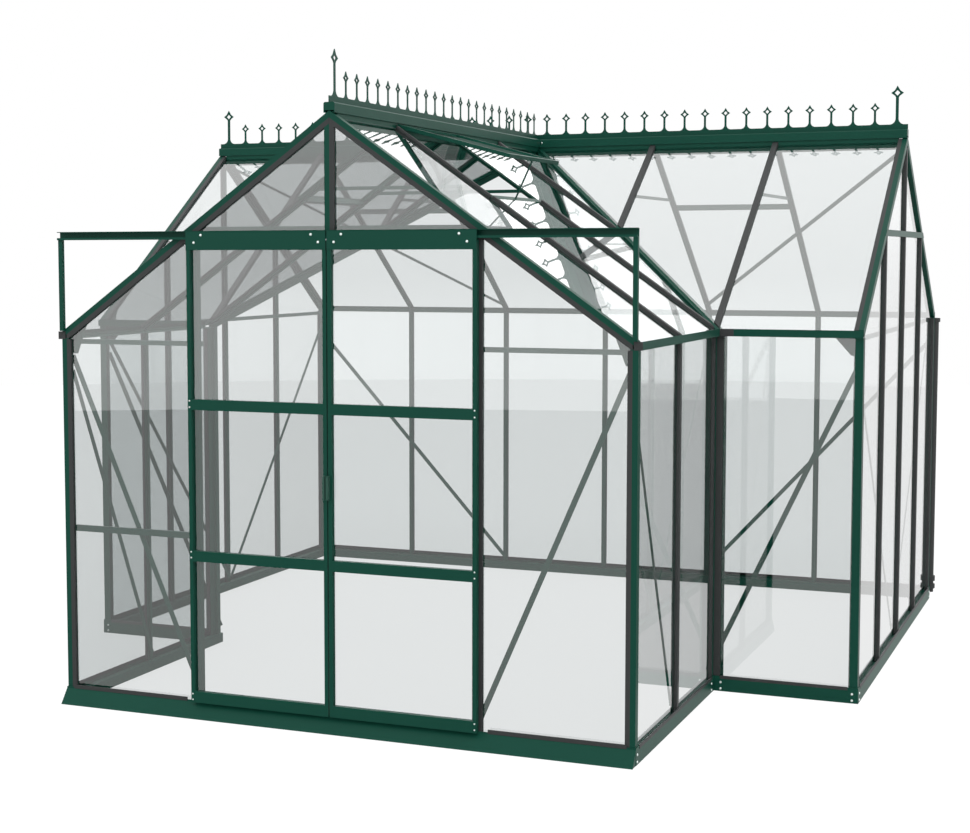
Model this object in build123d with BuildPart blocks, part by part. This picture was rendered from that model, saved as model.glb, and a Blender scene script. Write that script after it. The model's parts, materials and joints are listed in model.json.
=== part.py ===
# Glass greenhouse on a T-shaped plan: a two-bay front wing meets a six-bay main house,
# both with gabled glass roofs whose ridges lie at one height and carry pierced cresting.
#
# Frame: millimetres, +Z up.  The origin is the middle of the doorway on the ground, on the
# bay line of the front gable.  +X runs along the front, +Y runs into the house.
from build123d import *
from math import atan2, cos, degrees, hypot, radians, sin
import os

os.makedirs("parts", exist_ok=True)

# ---------------------------------------------------------------- driving dimensions
bay = 620.0                 # spacing of the glazing bars on every wall and slope
wing_width_bays = 4         # the main house is as deep as the wing is wide
wing_depth_bays = 2
main_length_bays = 6
wall_out = 10.0             # outer face of the profiles, outside the bay lines
eave_height = 1583.0        # outer roof plane above the outer face of a wall
ridge_height = 2463.0       # outer roof plane on the ridge line

# depths in every wall and slope, measured inwards from its outer face
capping_depth = 12.0        # plastic capping strip, in front of the glass
glass_thickness = 3.0
flange_thickness = 3.0      # aluminium flange behind the glass
bar_depth = 30.0            # whole depth of a glazing bar or a post
pane_front = capping_depth
pane_back = pane_front + glass_thickness
flange_back = pane_back + flange_thickness

# glazing bar
bar_width = 28.0
bar_web = 3.0
bar_bulb_width = 10.0
bar_bulb_depth = 4.0
capping_edge = 2.0          # bevel along the capping
pane_gap = 1.0              # pane edge to bar web
pane_play = 2.0             # pane edge to posts, rails and ridge

# posts, jambs and gable rafters
core_size = bar_depth
core_wall = 3.0
leg_width = 22.0            # green face beside the capping strip
lap_width = 34.0            # green leg that laps straight over the glass
profile_reach = 41.0        # far edge of a post's flange and of its capping
inner_strip = 28.0          # capping strip of the re-entrant corner, on the main house
jamb_width = 22.0

# base rails
rail_height = 67.0
rail_lip = 4.0              # outer lip, outside the post faces
rail_depth = 38.0
rail_wall = 3.0
rail_shelf = 45.0           # posts, bars and glass stand at this height
ramp_foot = 46.0            # how far the threshold ramp stands out
ramp_top = 60.0
ramp_thickness = 3.0

# eave gutters
eave_face = 32.0
eave_flange = 30.0
eave_wall = 3.0
gutter_reach = 15.0         # outer face of the gutter, outside the wall
gutter_cap = 2.0            # end caps and corner sleeves
gutter_cap_lap = 17.0
gutter_sleeve = 60.0

# downpipe at the rear right corner
pipe_radius = 24.0
pipe_wall = 2.0
pipe_inset = 5.0            # pipe's middle line from the face of the gable
pipe_stand = 14.0           # clear space between wall and pipe
pipe_foot = 30.0
collar_radius = 31.0
collar_height = 22.0
ring_radius = 32.0
ring_levels = ((50.0, 24.0), (92.0, 28.0))

# ridge beams
ridge_head_half = 24.0
ridge_stem_half = 16.0
ridge_head_drop = 8.0       # underside of the head below the ridge line
ridge_head_height = 41.0
ridge_wall = 3.0
ridge_bevel = 5.0

# cresting: a strip with a row of spears, pierced through their heads
crest_thickness = 4.0
crest_strip = 25.0
crest_pitch_goal = 104.0
spear_height = 106.0
finial_height = 184.0
spear_head = 45.0           # width across the points of the head
finial_head = 60.0
stem_width = 10.0
foot_radius = 22.0          # hollow flare where a stem meets the strip
finial_stem = 14.0
finial_foot = 28.0
head_hole = 0.3             # side of the pierced square, as a share of the head's width
head_waist = 0.42           # how far the head's sides are drawn in (0.5 is straight)
head_rise = 1.15            # upper point of the head, as a share of half its width

# valleys
valley_core = 10.0
valley_reach = 30.0
valley_fin = 3.0
valley_fin_depth = 40.0
valley_core_top = 4.0

# ties, transoms and braces
tie_height = 15.0
tie_thickness = 4.0
tie_drop = 285.0            # ties below the ridge line
transom_height = 25.0
transom_depth = 12.0
transom_rise = 26.0         # transom of the front gable above the underside of the door track
strap_drop = 480.0          # outer strap of the main gables below the ridge line
strap_height = 28.0
strap_thickness = 3.0
gable_bar_height = 20.0
low_bar_level = 737.0
low_bar_height = 26.0
low_bar_depth = 14.0
gusset_thickness = 3.0
gusset_drop = 61.0
gusset_toe = 56.0
gusset_run = 112.0
brace_width = 22.0
brace_thickness = 3.0
brace_foot = 80.0
brace_parting = 14.0
brace_play = 8.0            # brace end below the gusset
brace_step = 65.0           # brace ends of side walls sit lower than those of gables
rafter_parting = 1.0        # between two gable rafters at the ridge
roof_brace_top = 80.0
roof_brace_foot = 90.0

# roof vents
vent_sill_top = 528.0       # down the slope from the ridge line
vent_sill_width = 25.0
sash_lap = 12.0             # sash side past the bar line
sash_hinge = 26.0           # hinge line from the ridge line, in plan
sash_length = 520.0
sash_rail = 22.0
sash_thickness = 16.0
sash_open_angle = 20.0
stay_width = 12.0
stay_thickness = 4.0

# sliding doors
door_gap = 5.0              # between the two leaves when shut
leaf_width = 626.0
leaf_back = 20.0            # back of the leaves, in front of the bay line
leaf_thickness = 22.0
leaf_bottom = 66.0
stile_width = 16.0
leaf_glass_depth = 15.0     # glass behind the face of the leaf
mid_rail_height = 43.0
foot_rail_height = 46.0
mid_rail_levels = (653.0, 1275.0)
board_height = 74.0
board_thickness = 3.0
board_drop = 43.0           # underside of the board below the track
track_bottom = 1965.0
track_height = 34.0
track_depth = 26.0
track_wall = 3.0
track_lip = 9.0
running_gap = 6.0           # fixed track to moving leaf
roller_radius = 10.0
roller_width = 12.0
roller_rest = 0.3           # roller above the track floor
axle_radius = 3.0
roller_inset = 90.0
end_post_width = 18.0
end_post_depth = 18.0
end_post_gap = 3.0          # foot of the track's end posts above the gutters
handle_width = 9.0
handle_height = 94.0
handle_depth = 24.0
handle_level = 940.0

# ---------------------------------------------------------------- derived sizes
half_wing = wing_width_bays * bay / 2 + wall_out
half_main = main_length_bays * bay / 2 + wall_out
front_y = -wall_out
shoulder_y = wing_depth_bays * bay - wall_out
ridge_y = (wing_depth_bays + wing_width_bays / 2) * bay
rear_y = ridge_y + half_wing
rise = ridge_height - eave_height
steepness = rise / half_wing
pitch = atan2(rise, half_wing)
slope_length = hypot(rise, half_wing)
wall_top = eave_height - eave_face
roof_floor = wall_top + eave_wall
pane_edge = bar_web / 2 + pane_gap
ridge_head_bottom = ridge_height - ridge_head_drop
ridge_top = ridge_head_bottom + ridge_head_height
tie_level = ridge_height - tie_drop
strap_level = ridge_height - strap_drop
transom_level = track_bottom + transom_rise
board_bottom = track_bottom - board_drop
gable_bar_level = wall_top - gable_bar_height
clear_top = ridge_top + ridge_height
out_of_the_way = 2 * (half_main + rear_y)


def roof_z(offset, depth=0.0):
    """Height of the layer at this depth below the roof plane, at a plan distance from the ridge."""
    return ridge_height - steepness * offset - depth / cos(pitch)


ridge_stem_bottom = roof_z(ridge_stem_half, profile_reach)
rafter_meeting = roof_z(rafter_parting, profile_reach)

# outer faces of the walls, counter-clockwise from the front left corner
corners = [
    Vector(-half_wing, front_y),
    Vector(half_wing, front_y),
    Vector(half_wing, shoulder_y),
    Vector(half_main, shoulder_y),
    Vector(half_main, rear_y),
    Vector(-half_main, rear_y),
    Vector(-half_main, shoulder_y),
    Vector(-half_wing, shoulder_y),
]
FRONT, WING_SIDE, SHOULDER, GABLE, REAR = range(5)


def wall_direction(wall):
    """Unit vector along a wall, from its first corner to the next."""
    start = corners[wall % len(corners)]
    end = corners[(wall + 1) % len(corners)]
    return (end - start).normalized()


def inward(wall):
    """Unit vector into the house, square to a wall."""
    along = wall_direction(wall)
    return Vector(-along.Y, along.X)


def wall_length(wall):
    return (corners[(wall + 1) % len(corners)] - corners[wall]).length


def plan_plane(wall, height):
    """Horizontal plane whose x runs along the wall and whose y runs into the house."""
    place = corners[wall]
    return Plane(origin=(place.X, place.Y, height), x_dir=wall_direction(wall), z_dir=(0, 0, 1))


def face_plane(wall, depth=0.0):
    """Upright plane on the wall, x along it and y up, this depth inside its outer face."""
    place = corners[wall] + inward(wall) * depth
    return Plane(origin=(place.X, place.Y, 0), x_dir=wall_direction(wall), z_dir=-inward(wall))


def strip(wall, near, far, mitres=(True, True)):
    """Plan outline between two depths of a wall, its ends mitred or cut square."""
    outline = []
    for end, depth in ((0, near), (1, near), (1, far), (0, far)):
        corner = corners[(wall + end) % len(corners)]
        neighbour = (wall + 2 * end - 1) % len(corners)
        point = corner + inward(wall) * depth
        if mitres[end]:
            point = point + inward(neighbour) * depth
        outline.append((point.X, point.Y))
    return outline


def block(width, depth, left, front):
    """Rectangle placed by its left and front edges, in the current sketch."""
    with Locations((left + width / 2, front + depth / 2)):
        Rectangle(width, depth)


def slope_place(ridge_point, outward):
    """Plane square to a slope, at the ridge line: x along the ridge, y out of the roof."""
    down = outward * cos(pitch) - Vector(0, 0, 1) * sin(pitch)
    return Plane(origin=ridge_point, x_dir=Vector(0, 0, 1).cross(outward), z_dir=down)


def cut_place(ridge_foot, outward):
    """Upright plane square to the ridge: x away from the ridge line, y up."""
    return Plane(origin=ridge_foot, x_dir=outward, z_dir=outward.cross(Vector(0, 0, 1)))


EAST = Vector(1, 0, 0)
SOUTH = Vector(0, -1, 0)
NORTH = Vector(0, 1, 0)
wing_slope = slope_place((0, 0, ridge_height), EAST)
shoulder_slope = slope_place((0, ridge_y, ridge_height), SOUTH)
rear_slope = slope_place((0, ridge_y, ridge_height), NORTH)
wing_cut = cut_place((0, 0, 0), EAST)
shoulder_cut = cut_place((0, ridge_y, 0), SOUTH)
rear_cut = cut_place((0, ridge_y, 0), NORTH)


# ---------------------------------------------------------------- trimming volumes
def roof_layer(cut, top, bottom):
    """All of one slope between two depths below the roof plane."""
    with BuildPart() as layer:
        with BuildSketch(cut):
            Polygon(
                (0, roof_z(0, top)),
                (half_main, roof_z(half_main, top)),
                (half_main, roof_z(half_main, bottom)),
                (0, roof_z(0, bottom)),
                align=None,
            )
        extrude(amount=out_of_the_way, both=True)
    return layer.part


def upright(outline, low, high):
    """Upright prism on a plan outline."""
    with BuildPart() as prism:
        with BuildSketch(Plane.XY.offset(low)):
            Polygon(*outline, align=None)
        extrude(amount=high - low)
    return prism.part


def wing_zone(ridge_gap, eave_gap, valley_gap):
    """Space of the wing's right slope, clear of ridge, eave and valley by these distances."""
    reach = ridge_y - valley_gap * 2 ** 0.5
    edge = half_wing - eave_gap
    outline = [(ridge_gap, front_y), (edge, front_y), (edge, reach - edge)]
    outline.append((ridge_gap, reach - ridge_gap))
    return upright(outline, roof_floor, clear_top)


def shoulder_zone(ridge_gap, eave_gap, valley_gap):
    """Space of the main house's front right slope."""
    reach = ridge_y + valley_gap * 2 ** 0.5
    low = shoulder_y + eave_gap
    high = ridge_y - ridge_gap
    outline = [(reach - low, low), (half_main, low), (half_main, high), (reach - high, high)]
    return upright(outline, roof_floor, clear_top)


def rear_zone(ridge_gap, eave_gap):
    """Space of the rear slope."""
    low = ridge_y + ridge_gap
    high = rear_y - eave_gap
    outline = [(-half_main, low), (half_main, low), (half_main, high), (-half_main, high)]
    return upright(outline, roof_floor, clear_top)


def gable_zone(wall, depth, bottom, flat_top):
    """Space under a gable's roof, this depth below the roof plane and under a flat top."""
    middle = wall_length(wall) / 2
    crown = (ridge_height - depth / cos(pitch) - flat_top) / steepness
    with BuildPart() as zone:
        with BuildSketch(face_plane(wall)):
            Polygon(
                (0, bottom),
                (2 * middle, bottom),
                (2 * middle, roof_z(middle, depth)),
                (middle + crown, flat_top),
                (middle - crown, flat_top),
                (0, roof_z(middle, depth)),
                align=None,
            )
        extrude(amount=bay, both=True)
    return zone.part


# ---------------------------------------------------------------- profiles
def bar_section(places, front):
    """Glazing bars: a flange behind the glass, a web and a bulb.  Depth runs along front * y."""
    for place in places:
        with Locations((place, front * (pane_back + flange_thickness / 2))):
            Rectangle(bar_width, flange_thickness)
        with Locations((place, front * (pane_front + bar_depth) / 2)):
            Rectangle(bar_web, bar_depth - pane_front)
        with Locations((place, front * (bar_depth - bar_bulb_depth / 2))):
            Rectangle(bar_bulb_width, bar_bulb_depth)


def capping_section(places, front):
    """Capping strips over the bars, with bevelled outer edges."""
    half = bar_width / 2
    for place in places:
        with Locations((place, 0)):
            Polygon(
                (-half, front * capping_depth),
                (half, front * capping_depth),
                (half, front * capping_edge),
                (half - capping_edge, 0),
                (capping_edge - half, 0),
                (-half, front * capping_edge),
                align=None,
            )


def corner_section(first_lap):
    """Hollow post at an outer corner: x along one wall and y along the other.

    One leg laps over the glass and the other leaves room for a capping strip.
    """
    block(core_size, core_size, 0, 0)
    block(profile_reach, flange_thickness, 0, pane_back)
    block(flange_thickness, profile_reach, pane_back, 0)
    if first_lap:
        block(lap_width, capping_depth, 0, 0)
    else:
        block(capping_depth, lap_width, 0, 0)
    inside = core_size - 2 * core_wall
    with Locations((core_size / 2, core_size / 2)):
        Rectangle(inside, inside, mode=Mode.SUBTRACT)
    spare = core_size - leg_width
    if first_lap:
        with Locations((capping_depth / 2, core_size - spare / 2)):
            Rectangle(capping_depth, spare, mode=Mode.SUBTRACT)
        block(core_wall, spare, capping_depth, leg_width)
        block(capping_depth, core_wall, core_wall, leg_width - core_wall)
    else:
        with Locations((core_size - spare / 2, capping_depth / 2)):
            Rectangle(spare, capping_depth, mode=Mode.SUBTRACT)
        block(spare, core_wall, leg_width, capping_depth)
        block(core_wall, capping_depth, leg_width - core_wall, core_wall)


def inner_corner_section():
    """Hollow post in the re-entrant corner, its walls along +x and +y; only +x has a leg."""
    block(core_size, core_size, -core_size, -core_size)
    block(leg_width, capping_depth, 0, -capping_depth)
    block(profile_reach, flange_thickness, 0, -flange_back)
    block(flange_thickness, profile_reach, -flange_back, 0)
    inside = core_size - 2 * core_wall
    with Locations((-core_size / 2, -core_size / 2)):
        Rectangle(inside, inside, mode=Mode.SUBTRACT)


def jamb_section(place, side):
    """Hollow half-faced post: green core on one side of the bay line, flange on the other."""
    middle = place - side * jamb_width / 2
    with Locations((middle, bar_depth / 2)):
        Rectangle(jamb_width, bar_depth)
        Rectangle(jamb_width - 2 * core_wall, bar_depth - 2 * core_wall, mode=Mode.SUBTRACT)
    far = profile_reach - leg_width
    with Locations((place + side * far / 2, pane_back + flange_thickness / 2)):
        Rectangle(far, flange_thickness)


def bar_places(bays):
    """Places of the bars along a wall that starts at an outer corner."""
    return [wall_out + bay * count for count in range(1, bays)]


def pane_spans(first, places, last):
    """Start and end of each pane between two ends and the bars between them."""
    starts = [first] + [place + pane_edge for place in places]
    ends = [place - pane_edge for place in places] + [last]
    return list(zip(starts, ends))


def mirrored(piece):
    """The same piece on the left side of the house."""
    return mirror(piece, about=Plane.YZ)


def finish(builder, name):
    """Label a finished piece and write it."""
    builder.part.label = name
    export_step(builder.part, "parts/" + name + ".step")


# ---------------------------------------------------------------- base rails and threshold
def base_rail(wall):
    """Hollow base rail with an outer lip, mitred at both corners."""
    with BuildPart() as rail:
        with BuildSketch():
            Polygon(*strip(wall, -rail_lip, rail_depth), align=None)
        extrude(amount=rail_shelf)
        with BuildSketch(Plane.XY.offset(rail_shelf)):
            Polygon(*strip(wall, -rail_lip, 0), align=None)
        extrude(amount=rail_height - rail_shelf)
        with BuildSketch(Plane.XY.offset(rail_wall)):
            Polygon(*strip(wall, 0, rail_depth - rail_wall), align=None)
        extrude(amount=rail_shelf - 2 * rail_wall, mode=Mode.SUBTRACT)
    return rail.part


with BuildPart() as front_base_rail:
    add(base_rail(FRONT))
finish(front_base_rail, "front_base_rail")

with BuildPart() as wing_side_rails:
    add(base_rail(WING_SIDE))
    mirror(about=Plane.YZ)
finish(wing_side_rails, "wing_side_rails")

with BuildPart() as main_gable_rails:
    add(base_rail(GABLE))
    mirror(about=Plane.YZ)
finish(main_gable_rails, "main_gable_rails")

with BuildPart() as main_long_rails:
    add(base_rail(SHOULDER))
    mirror(about=Plane.YZ)
    add(base_rail(REAR))
finish(main_long_rails, "main_long_rails")

with BuildPart() as threshold_ramp:
    ramp_back = front_y - rail_lip
    ramp_run = ramp_thickness * hypot(ramp_foot, ramp_top) / ramp_top
    ramp_drop = ramp_run * ramp_top / ramp_foot
    with BuildSketch(Plane.YZ):
        Polygon(
            (ramp_back - ramp_foot, 0),
            (ramp_back - ramp_foot + ramp_run, 0),
            (ramp_back, ramp_top - ramp_drop),
            (ramp_back, ramp_top),
            align=None,
        )
    extrude(amount=half_wing + rail_lip, both=True)
finish(threshold_ramp, "threshold_ramp")

# ---------------------------------------------------------------- posts and jambs
post_height = wall_top - rail_shelf


def corner_post(corner, x_dir, first_lap):
    """Outer corner post; its first wall runs along x_dir, the other square to it."""
    with BuildPart() as post:
        with BuildSketch(Plane(origin=(corner.X, corner.Y, rail_shelf), x_dir=x_dir)):
            corner_section(first_lap)
        extrude(amount=post_height)
    return post.part


with BuildPart() as outer_corner_posts:
    add(corner_post(corners[WING_SIDE], (0, 1, 0), True))
    add(corner_post(corners[GABLE], (0, 1, 0), False))
    add(corner_post(corners[REAR], (-1, 0, 0), True))
    mirror(about=Plane.YZ)
finish(outer_corner_posts, "outer_corner_posts")

with BuildPart() as inner_corner_posts:
    corner = corners[SHOULDER]
    with BuildSketch(Plane(origin=(corner.X, corner.Y, rail_shelf), x_dir=(0, -1, 0))):
        inner_corner_section()
    extrude(amount=post_height)
    mirror(about=Plane.YZ)
finish(inner_corner_posts, "inner_corner_posts")

front_bars = bar_places(wing_width_bays)
front_middle = front_bars[1]
front_limit = gable_zone(FRONT, profile_reach, rail_shelf, rafter_meeting)
gable_limit = gable_zone(GABLE, profile_reach, rail_shelf, rafter_meeting)
with BuildPart() as door_jambs:
    with BuildSketch(plan_plane(FRONT, rail_shelf)):
        jamb_section(front_bars[0], -1)
        jamb_section(front_bars[2], 1)
    extrude(amount=ridge_height)
    add(front_limit, mode=Mode.INTERSECT)
finish(door_jambs, "door_jambs")

# ---------------------------------------------------------------- wall bars
wing_side_bars = bar_places(wing_depth_bays)
gable_bars = bar_places(wing_width_bays)
rear_bars = bar_places(main_length_bays)

with BuildPart() as front_gable_bar:
    with BuildSketch(plan_plane(FRONT, transom_level)):
        jamb_section(front_middle, 1)
    extrude(amount=ridge_height)
    add(front_limit, mode=Mode.INTERSECT)

with BuildPart() as wing_wall_bars:
    with BuildSketch(plan_plane(WING_SIDE, rail_shelf)):
        bar_section(wing_side_bars, 1)
    extrude(amount=post_height)
    mirror(about=Plane.YZ)
    add(front_gable_bar.part)
finish(wing_wall_bars, "wing_wall_bars")

with BuildPart() as main_wall_bars:
    with BuildSketch(plan_plane(GABLE, rail_shelf)):
        bar_section(gable_bars, 1)
    extrude(amount=ridge_height)
    add(gable_limit, mode=Mode.INTERSECT)
    mirror(about=Plane.YZ)
    with BuildSketch(plan_plane(REAR, rail_shelf)):
        bar_section(rear_bars, 1)
    extrude(amount=post_height)
finish(main_wall_bars, "main_wall_bars")


# ---------------------------------------------------------------- eaves
def eave_gutter(wall, mitres):
    """Gutter along the top of a wall: an outer face and a floor that laps over the posts."""
    with BuildPart() as gutter:
        with BuildSketch(Plane.XY.offset(wall_top)):
            face = strip(wall, -gutter_reach, eave_wall - gutter_reach, mitres)
            Polygon(*face, align=None)
        extrude(amount=eave_face)
        with BuildSketch(Plane.XY.offset(wall_top)):
            Polygon(*strip(wall, -gutter_reach, eave_flange, mitres), align=None)
        extrude(amount=eave_wall)
    return gutter.part


with BuildPart() as wing_eaves:
    add(eave_gutter(WING_SIDE, (False, True)))
    mirror(about=Plane.YZ)
finish(wing_eaves, "wing_eaves")

with BuildPart() as shoulder_eaves:
    add(eave_gutter(SHOULDER, (True, False)))
    mirror(about=Plane.YZ)
finish(shoulder_eaves, "shoulder_eaves")

with BuildPart() as rear_eave:
    add(eave_gutter(REAR, (False, False)))
finish(rear_eave, "rear_eave")

with BuildPart() as gutter_caps:
    with BuildSketch(Plane.XY.offset(wall_top)):
        cap_width = gutter_cap_lap + gutter_reach + gutter_cap
        block(cap_width, gutter_cap, half_wing - gutter_cap_lap, front_y - gutter_cap)
    extrude(amount=eave_face)
    with BuildSketch(plan_plane(SHOULDER, wall_top)):
        block(gutter_sleeve, gutter_cap, gutter_reach, -gutter_reach - gutter_cap)
    extrude(amount=eave_face)
    mirror(about=Plane.YZ)
finish(gutter_caps, "gutter_caps")

pipe_centre = (half_main - pipe_inset, rear_y + pipe_stand + pipe_radius)
with BuildPart() as downpipe:
    with BuildSketch(Plane.XY.offset(pipe_foot)):
        with Locations(pipe_centre):
            Circle(pipe_radius)
    extrude(amount=wall_top - pipe_foot)
    with BuildSketch(Plane.XY.offset(wall_top - collar_height)):
        with Locations(pipe_centre):
            Circle(collar_radius)
    extrude(amount=collar_height)
    for level, height in ring_levels:
        with BuildSketch(Plane.XY.offset(level)):
            with Locations(pipe_centre):
                Circle(ring_radius)
        extrude(amount=height)
    with BuildSketch(Plane.XY.offset(pipe_foot)):
        with Locations(pipe_centre):
            Circle(pipe_radius - pipe_wall)
    extrude(amount=wall_top - pipe_foot, mode=Mode.SUBTRACT)
finish(downpipe, "downpipe")

# ---------------------------------------------------------------- gable rafters
rafter_gap = rafter_parting / 2
front_rafter_zone = wing_zone(rafter_gap, eave_wall, 0)
shoulder_rafter_zone = shoulder_zone(rafter_gap, eave_wall, 0)
rear_rafter_zone = rear_zone(rafter_gap, eave_wall)
rear_trim = rear_zone(ridge_stem_half, eave_wall)


def gable_rafter(slope, edge, side, zone, face_lap):
    """Corner profile run down a slope at a gable; its lapping leg lies on the face or the roof."""
    place = slope.from_local_coords(Vector(edge, 0, 0))
    section = Plane(origin=place, x_dir=-slope.y_dir, z_dir=slope.z_dir * side)
    with BuildPart() as rafter:
        with BuildSketch(section):
            corner_section(face_lap)
        extrude(amount=side * slope_length)
        add(zone, mode=Mode.INTERSECT)
    return rafter.part


with BuildPart() as front_gable_rafters:
    add(gable_rafter(wing_slope, front_y, 1, front_rafter_zone, False))
    mirror(about=Plane.YZ)
finish(front_gable_rafters, "front_gable_rafters")

with BuildPart() as main_gable_rafters:
    add(gable_rafter(shoulder_slope, half_main, -1, shoulder_rafter_zone, True))
    add(gable_rafter(rear_slope, -half_main, 1, rear_rafter_zone, True))
    mirror(about=Plane.YZ)
finish(main_gable_rafters, "main_gable_rafters")

# ---------------------------------------------------------------- roof bars and valleys
wing_bar_zone = wing_zone(ridge_stem_half, eave_wall, valley_reach)
shoulder_bar_zone = shoulder_zone(ridge_stem_half, eave_wall, valley_reach)
wing_roof_places = [bay * count for count in range(1, wing_depth_bays + wing_width_bays // 2)]
shoulder_places = [bay * count for count in range(1, main_length_bays // 2)]
rear_places = [bay * count for count in range(1 - main_length_bays // 2, main_length_bays // 2)]


def roof_bars(slope, places, zone):
    """Glazing bars down one slope, trimmed to its zone."""
    with BuildPart() as bars:
        with BuildSketch(slope):
            bar_section(places, -1)
        extrude(amount=slope_length)
        add(zone, mode=Mode.INTERSECT)
    return bars.part


with BuildPart() as wing_roof_bars:
    add(roof_bars(wing_slope, wing_roof_places, wing_bar_zone))
    mirror(about=Plane.YZ)
finish(wing_roof_bars, "wing_roof_bars")

with BuildPart() as main_roof_bars:
    add(roof_bars(shoulder_slope, shoulder_places, shoulder_bar_zone))
    mirror(about=Plane.YZ)
    add(roof_bars(rear_slope, rear_places, rear_trim))
finish(main_roof_bars, "main_roof_bars")

valley_courses = (
    (valley_reach, pane_back, flange_back),
    (valley_core, valley_core_top, flange_back),
    (valley_fin, flange_back, valley_fin_depth),
)


def valley_outline(reach, wing_half):
    """Plan of one half of a valley, between ridge stems and eaves."""
    top = (ridge_stem_half, ridge_y - ridge_stem_half)
    foot = (half_wing - eave_wall, shoulder_y + eave_wall)
    spread = reach * 2 ** 0.5
    if wing_half:
        return [top, (top[0], top[1] - spread), (foot[0], foot[1] - spread), foot]
    return [top, (top[0] + spread, top[1]), (foot[0] + spread, foot[1]), foot]


def valley_course(reach, top, bottom, wing_half):
    """One layer of half a valley."""
    with BuildPart() as course:
        add(upright(valley_outline(reach, wing_half), roof_floor, clear_top))
        add(roof_layer(wing_cut if wing_half else shoulder_cut, top, bottom), mode=Mode.INTERSECT)
    return course.part


with BuildPart() as valley_rafters:
    for reach, top, bottom in valley_courses:
        for wing_half in (True, False):
            add(valley_course(reach, top, bottom, wing_half))
    mirror(about=Plane.YZ)
finish(valley_rafters, "valley_rafters")


# ---------------------------------------------------------------- ridges
def ridge_section():
    """Open-bottomed ridge beam: a head over the panes and a stem that the bars meet."""
    inner_head = ridge_head_half - ridge_wall
    inner_stem = ridge_stem_half - ridge_wall
    Polygon(
        (ridge_stem_half, ridge_stem_bottom),
        (ridge_stem_half, ridge_head_bottom),
        (ridge_head_half, ridge_head_bottom),
        (ridge_head_half, ridge_top - ridge_bevel),
        (ridge_head_half - ridge_bevel, ridge_top),
        (ridge_bevel - ridge_head_half, ridge_top),
        (-ridge_head_half, ridge_top - ridge_bevel),
        (-ridge_head_half, ridge_head_bottom),
        (-ridge_stem_half, ridge_head_bottom),
        (-ridge_stem_half, ridge_stem_bottom),
        (-inner_stem, ridge_stem_bottom),
        (-inner_stem, ridge_head_bottom + ridge_wall),
        (-inner_head, ridge_head_bottom + ridge_wall),
        (-inner_head, ridge_top - ridge_wall - ridge_bevel),
        (ridge_bevel - inner_head, ridge_top - ridge_wall),
        (inner_head - ridge_bevel, ridge_top - ridge_wall),
        (inner_head, ridge_top - ridge_wall - ridge_bevel),
        (inner_head, ridge_head_bottom + ridge_wall),
        (inner_stem, ridge_head_bottom + ridge_wall),
        (inner_stem, ridge_stem_bottom),
        align=None,
    )


def ridge_end(place):
    """Closing plate of a ridge's head, above the rafters; place looks outwards."""
    with BuildPart() as plate:
        with BuildSketch(place):
            Polygon(
                (-ridge_head_half, ridge_height + rafter_parting),
                (ridge_head_half, ridge_height + rafter_parting),
                (ridge_head_half, ridge_top - ridge_bevel),
                (ridge_head_half - ridge_bevel, ridge_top),
                (ridge_bevel - ridge_head_half, ridge_top),
                (-ridge_head_half, ridge_top - ridge_bevel),
                align=None,
            )
        extrude(amount=-ridge_wall)
    return plate.part


def stem_relief(place):
    """Space of the ridge's stem between the gable rafters that meet in front of it."""
    with BuildPart() as relief:
        with BuildSketch(place):
            width = 2 * ridge_stem_half
            block(width, bay, -ridge_stem_half, ridge_head_bottom - bay)
        extrude(amount=-profile_reach - pane_gap)
    return relief.part


wing_end = Plane(origin=(0, front_y, 0), x_dir=(1, 0, 0), z_dir=(0, -1, 0))
main_end = Plane(origin=(half_main, ridge_y, 0), x_dir=(0, 1, 0), z_dir=(1, 0, 0))
with BuildPart() as wing_ridge:
    with BuildSketch(wing_end):
        ridge_section()
    extrude(amount=-(ridge_y - ridge_head_half - front_y))
    add(stem_relief(wing_end), mode=Mode.SUBTRACT)
    add(ridge_end(wing_end))
finish(wing_ridge, "wing_ridge")

with BuildPart() as main_ridge:
    with BuildSketch(rear_cut):
        ridge_section()
    extrude(amount=half_main, both=True)
    add(stem_relief(main_end), mode=Mode.SUBTRACT)
    add(mirrored(stem_relief(main_end)), mode=Mode.SUBTRACT)
    add(ridge_end(main_end))
    add(mirrored(ridge_end(main_end)))
finish(main_ridge, "main_ridge")


# ---------------------------------------------------------------- cresting
def spear(height, head, stem, flare):
    """One spear of the cresting: hollow-flared foot, stem and a head with drawn-in sides."""
    point = head / 2
    middle = height - point * head_rise
    waist = point * head_waist
    reach = stem / 2 + flare
    with BuildSketch() as outline:
        Polygon(
            (-stem / 2, -crest_strip / 2),
            (stem / 2, -crest_strip / 2),
            (stem / 2, middle - point / 2),
            (-stem / 2, middle - point / 2),
            align=None,
        )
        Polygon(
            (0, height),
            (waist, middle + waist),
            (point, middle),
            (waist, middle - waist),
            (0, middle - point),
            (-waist, middle - waist),
            (-point, middle),
            (-waist, middle + waist),
            align=None,
        )
        with Locations((0, flare / 2 - crest_strip / 4)):
            Rectangle(stem + 2 * flare, flare + crest_strip / 2)
        with Locations((-reach, flare), (reach, flare)):
            Circle(flare, mode=Mode.SUBTRACT)
        with Locations((0, middle)):
            Rectangle(head * head_hole, head * head_hole, rotation=45, mode=Mode.SUBTRACT)
    return outline.sketch


plain_spear = spear(spear_height, spear_head, stem_width, foot_radius)
finial = spear(finial_height, finial_head, finial_stem, finial_foot)


def crest_sketch(length, finials):
    """Cresting along a ridge, from x = 0; a finial stands at the first or at both ends."""
    count = round(length / crest_pitch_goal)
    step = length / count
    places = [((number + 0.5) * step, 0) for number in range(count)]
    last_plain = count - finials + 1
    block(length, crest_strip, 0, -crest_strip)
    with Locations(*places[1:last_plain]):
        add(plain_spear)
    with Locations(*places[:1], *places[last_plain:]):
        add(finial)


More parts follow.
